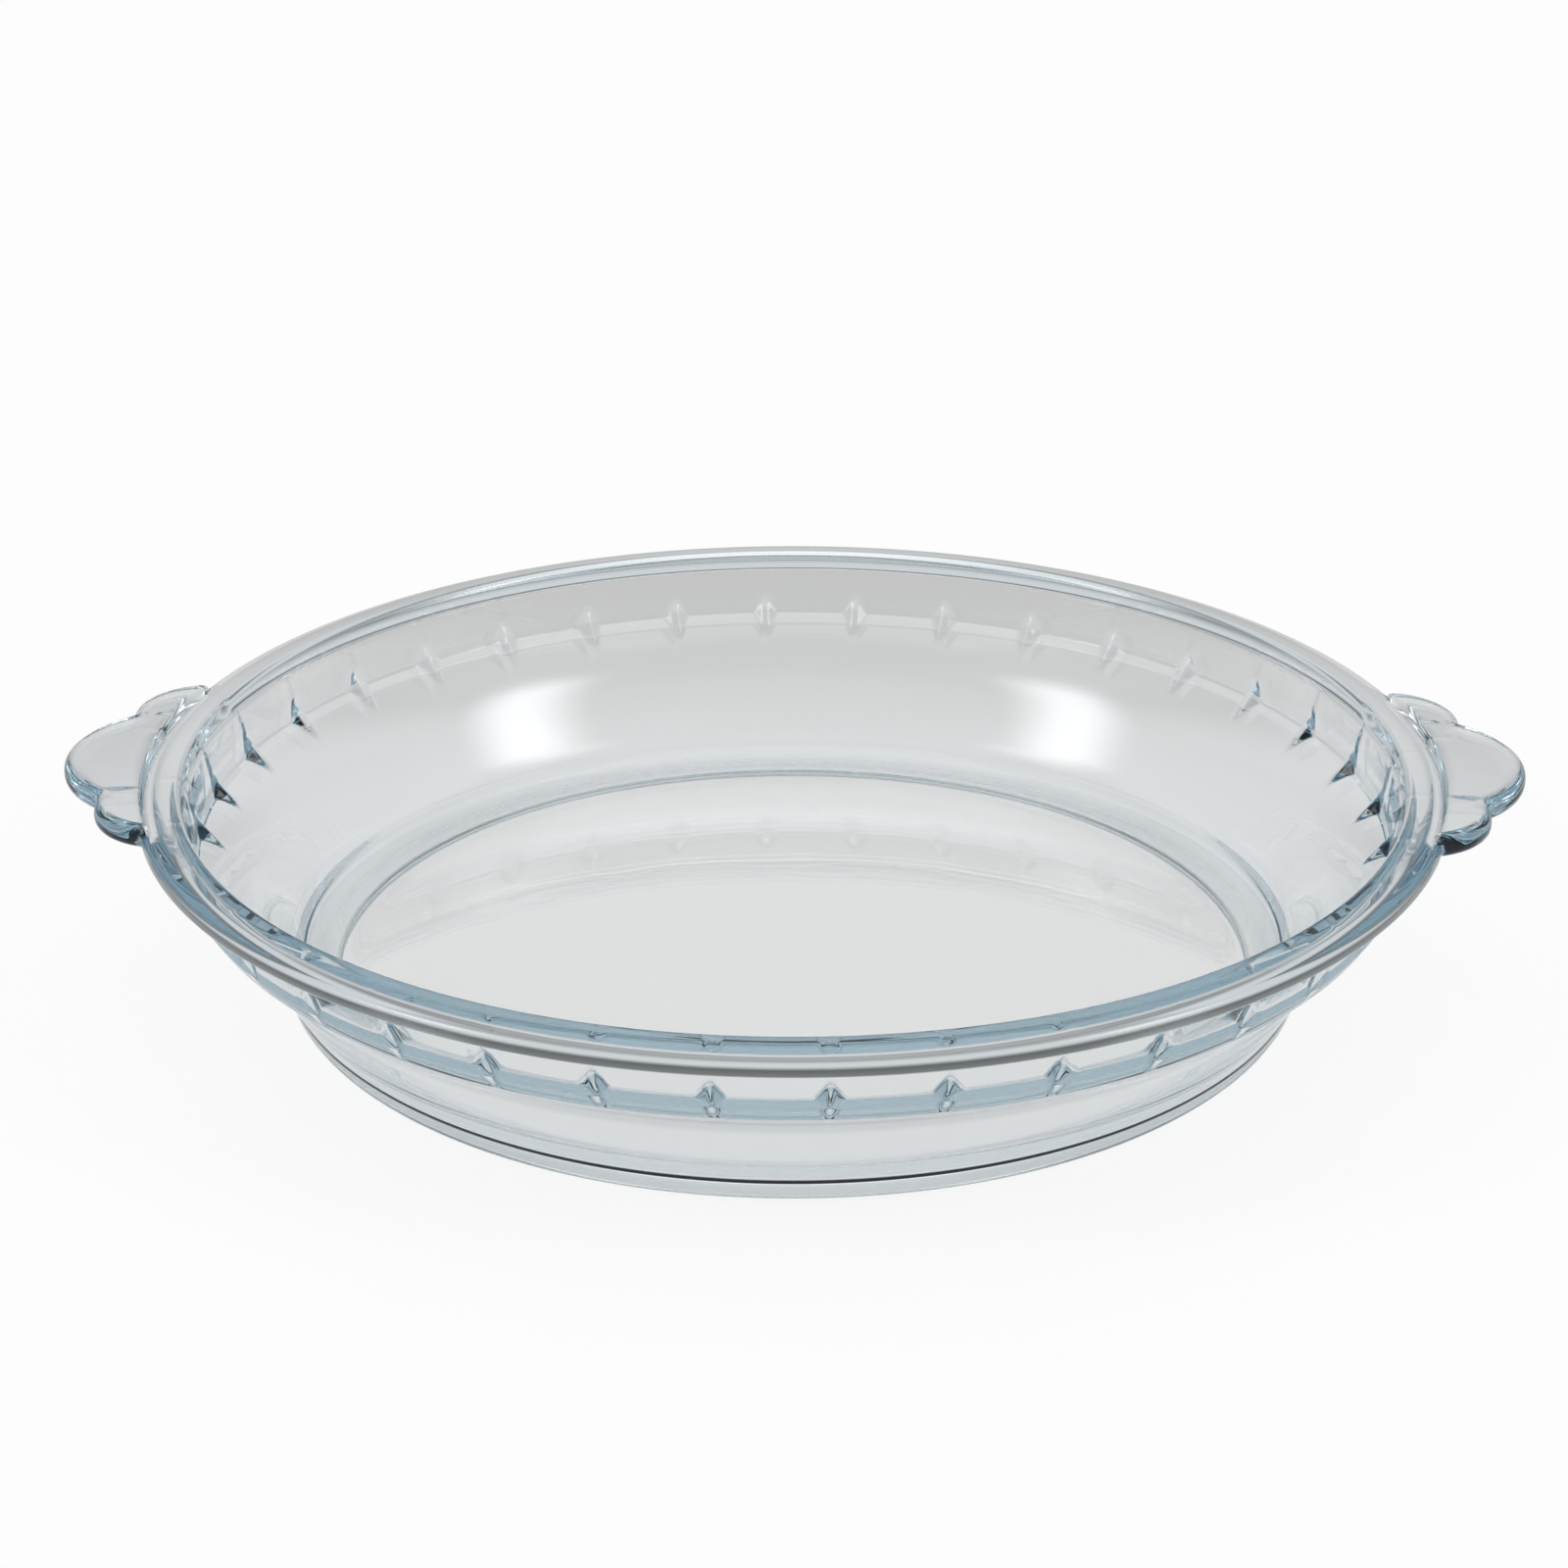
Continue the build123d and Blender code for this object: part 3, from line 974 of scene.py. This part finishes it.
@dataclass(frozen=True)
class PressedGlass:
    """Clear pressed glass with a faint steel-blue depth, a pressed ripple and a stippled foot."""

    tint: Colour = (0.995, 0.998, 0.998)
    depth_colour: Colour = (0.35, 0.6, 0.71)
    depth_density: float = 26.0
    ior: float = 1.47
    polish: float = 0.0
    stipple_roughness: float = 1.0
    stipple_edges: Place = (0.0018, 0.0009)
    ripple_scale: float = 55.0
    ripple_detail: float = 1.0
    ripple_height: float = 0.00012
    ripple_strength: float = 0.25

    def material(self) -> bpy.types.Material:
        """Makes the material.

        Returns:
            The glass, with its absorption inside.
        """
        material = bpy.data.materials.new("pressed_glass")
        material.use_nodes = True
        graph = Graph(material.node_tree)
        place = graph.node("ShaderNodeTexCoord").outputs["Object"]
        height = graph.node("ShaderNodeSeparateXYZ", Vector=place).outputs["Z"]
        stippled = graph.ramp(height, *self.stipple_edges) * self.stipple_roughness
        ripple = graph.noise(place, self.ripple_scale, self.ripple_detail)
        bump = graph.node(
            "ShaderNodeBump", Strength=self.ripple_strength, Distance=self.ripple_height, Height=ripple
        )
        shader = graph.node(
            "ShaderNodeBsdfPrincipled",
            Base_Color=(*self.tint, 1),
            Roughness=stippled + self.polish,
            IOR=self.ior,
            Transmission_Weight=1.0,
            Normal=bump.outputs["Normal"],
        )
        inside = graph.node(
            "ShaderNodeVolumeAbsorption", Color=(*self.depth_colour, 1), Density=self.depth_density
        )
        output = graph.node("ShaderNodeOutputMaterial", Surface=shader.outputs["BSDF"])
        graph.feed(output.inputs["Volume"], inside.outputs["Volume"])
        return material


@dataclass
class Studio:
    """The floor, the lamp, the surrounding room and the camera."""

    floor_radius: float = 12.0
    floor_corners: int = 128
    floor_gap: float = 0.0003
    floor_colour: Colour = (0.94, 0.94, 0.94)
    floor_glow_share: float = 0.85
    floor_glow_through_glass: float = 0.85
    # Painted shade on the floor seen through the glass: a pale level near the dish and a darker grey
    # level further out, across an oval.
    floor_near_through_glass: Colour = (0.81, 0.8, 0.797)
    floor_painted_shadow_through_glass: Colour = (0.53, 0.52, 0.515)
    floor_shade_edges: Place = (0.085, 0.185)
    floor_shade_stretch: Triple = (0.82, 1.0, 1.0)
    light_behind: tuple[Place, ...] = (
        (0.09, 0.3), (0.26, 0.12), (0.42, 0.72), (0.57, 0.72),
        (0.71, 0.27), (0.82, 0.75), (0.91, 1.1), (1.0, 1.15),
    )
    light_before: tuple[Place, ...] = (
        (0.1, 0.42), (0.6, 0.48), (0.82, 0.6), (0.91, 0.87), (0.97, 1.05),
    )
    window_light: float = 5.0
    front_edge: Place = (0.1, -0.4)
    side_light: float = 0.5
    side_edge: Place = (0.3, 0.75)
    side_height: Place = (0.5, 0.35)
    window_direction: Triple = (0.755, -0.277, 0.596)
    window_size: Place = (0.14, 0.2)
    window_softness: float = 0.13
    window_facing_edges: Place = (0.0, 0.1)
    lamp_direction: Triple = (0.0, 0.15, 1.0)
    lamp_distance: float = 1.3
    lamp_size: Place = (0.9, 0.6)
    lamp_watts: float = 1.0
    light_bounces: int = 24
    camera_lens: float = 89.51
    camera_distance: float = 0.69578
    camera_target_height: float = 0.025
    camera_azimuth_degrees: float = 1.0
    camera_elevation_degrees: float = 23.965
    camera_shift: Place = (-0.00584, 0.03166)

    def lay_floor(self) -> None:
        """Lays the pale floor just under the dish, with painted shade where it is seen through glass:
        darker away from the dish.
        """
        bpy.ops.object.select_all(action="DESELECT")
        bpy.ops.mesh.primitive_circle_add(
            vertices=self.floor_corners,
            radius=self.floor_radius,
            fill_type="NGON",
            location=(0, 0, -self.floor_gap),
        )
        floor = bpy.context.active_object
        bpy.ops.object.transform_apply(location=True)
        floor.name = "floor"
        material = bpy.data.materials.new("floor_paper")
        material.use_nodes = True
        graph = Graph(material.node_tree)
        paper = graph.node("ShaderNodeBsdfDiffuse", Color=(*self.floor_colour, 1))
        path = graph.node("ShaderNodeLightPath").outputs
        place = graph.node("ShaderNodeTexCoord").outputs["Object"]
        oval = graph.stretched(place, self.floor_shade_stretch)
        distance = graph.node("ShaderNodeVectorMath", {"operation": "LENGTH"}, _0=oval).outputs["Value"]
        # Painted shade: seen through glass, the floor goes from the near level to the darker far level
        # away from the dish.
        outward = graph.ramp(distance, *self.floor_shade_edges).socket
        shade = graph.mix(outward, self.floor_near_through_glass, self.floor_painted_shadow_through_glass)
        pale = graph.mix(path["Is Camera Ray"], shade, (1.0, 1.0, 1.0))
        glow = graph.node("ShaderNodeEmission", Color=pale, Strength=1.0)
        through = graph.maths("MAXIMUM", path["Is Glossy Ray"], path["Is Transmission Ray"])
        direct = Value(graph, path["Is Camera Ray"])
        seen = direct * self.floor_glow_share + through * self.floor_glow_through_glass
        mixed = graph.node("ShaderNodeMixShader", _0=seen, _1=paper.outputs[0], _2=glow.outputs[0])
        graph.node("ShaderNodeOutputMaterial", Surface=mixed.outputs[0])
        floor.data.materials.append(material)

    def surround(self) -> None:
        """Makes the room, whose light goes from level to level with height, and its two windows."""
        world = bpy.data.worlds.new("room")
        bpy.context.scene.world = world
        world.use_nodes = True
        graph = Graph(world.node_tree)
        way = graph.node("ShaderNodeTexCoord").outputs["Generated"]
        parts = graph.node("ShaderNodeSeparateXYZ", Vector=way).outputs
        behind = graph.levels(parts["Z"], self.light_behind)
        before = graph.levels(parts["Z"], self.light_before)
        level = behind + (before - behind) * graph.ramp(parts["Y"], *self.front_edge)
        beside = graph.ramp(graph.maths("ABSOLUTE", parts["X"]), *self.side_edge)
        low = graph.ramp(parts["Z"], *self.side_height)
        level = level + (self.side_light - level) * (beside * low)
        level = level + self.window(graph, parts) * self.window_light
        camera = graph.node("ShaderNodeLightPath").outputs["Is Camera Ray"]
        strength = graph.maths("MAXIMUM", level, camera)
        back = graph.node("ShaderNodeBackground", Color=(1, 1, 1, 1), Strength=strength)
        graph.node("ShaderNodeOutputWorld", Surface=back.outputs[0])

    def window(self, graph: Graph, parts: Any) -> Value:
        """How much of a direction lies in the soft-edged window on either side.

        Args:
            graph: the room's graph.
            parts: the direction's three outputs.

        Returns:
            The share, one inside a window and nought outside.
        """
        facing = Vector(self.window_direction).normalized()
        across = Vector((0, 0, 1)).cross(facing).normalized()
        upright = facing.cross(across)
        mirrored = graph.node(
            "ShaderNodeCombineXYZ", X=graph.maths("ABSOLUTE", parts["X"]), Y=parts["Y"], Z=parts["Z"]
        ).outputs[0]
        share = graph.ramp(graph.dot(mirrored, facing), *self.window_facing_edges)
        for axis, half in ((across, self.window_size[0]), (upright, self.window_size[1])):
            off = graph.maths("ABSOLUTE", graph.dot(mirrored, axis))
            share = share * graph.ramp(off, half + self.window_softness, half - self.window_softness)
        return share

    def hang_lamp(self) -> None:
        """Hangs a soft lamp overhead, which throws the dish's shadow."""
        place = Vector(self.lamp_direction).normalized() * self.lamp_distance
        bpy.ops.object.select_all(action="DESELECT")
        bpy.ops.object.light_add(type="AREA", location=place)
        lamp = bpy.context.active_object
        lamp.name = "top_lamp"
        lamp.data.shape = "RECTANGLE"
        lamp.data.size, lamp.data.size_y = self.lamp_size
        lamp.data.energy = self.lamp_watts
        lamp.rotation_euler = (-place).to_track_quat("-Z", "Y").to_euler()

    def aim_camera(self) -> None:
        """Sets up the camera at the photograph's viewing angle."""
        azimuth = math.radians(self.camera_azimuth_degrees)
        elevation = math.radians(self.camera_elevation_degrees)
        level = math.cos(elevation)
        back = Vector((math.sin(azimuth) * level, -math.cos(azimuth) * level, math.sin(elevation)))
        target = Vector((0, 0, self.camera_target_height))
        data = bpy.data.cameras.new("camera")
        data.lens = self.camera_lens
        data.shift_x, data.shift_y = self.camera_shift
        camera = bpy.data.objects.new("camera", data)
        bpy.context.collection.objects.link(camera)
        camera.location = target + back * self.camera_distance
        camera.rotation_mode = "QUATERNION"
        camera.rotation_quaternion = (-back).to_track_quat("-Z", "Y")
        bpy.context.scene.camera = camera

    def build(self) -> None:
        """Builds the studio."""
        self.aim_camera()
        self.lay_floor()
        self.surround()
        self.hang_lamp()
        scene = bpy.context.scene
        scene.view_settings.view_transform = "Standard"
        scene.cycles.max_bounces = self.light_bounces
        scene.cycles.glossy_bounces = self.light_bounces
        scene.cycles.transmission_bounces = self.light_bounces
        log.info("studio: floor, room, lamp and camera")


def main() -> None:
    """Builds the dish and the studio in order."""
    dish = PieDish()
    dish.dress(dish.build())
    Studio().build()


if __name__ == "__main__":
    main()
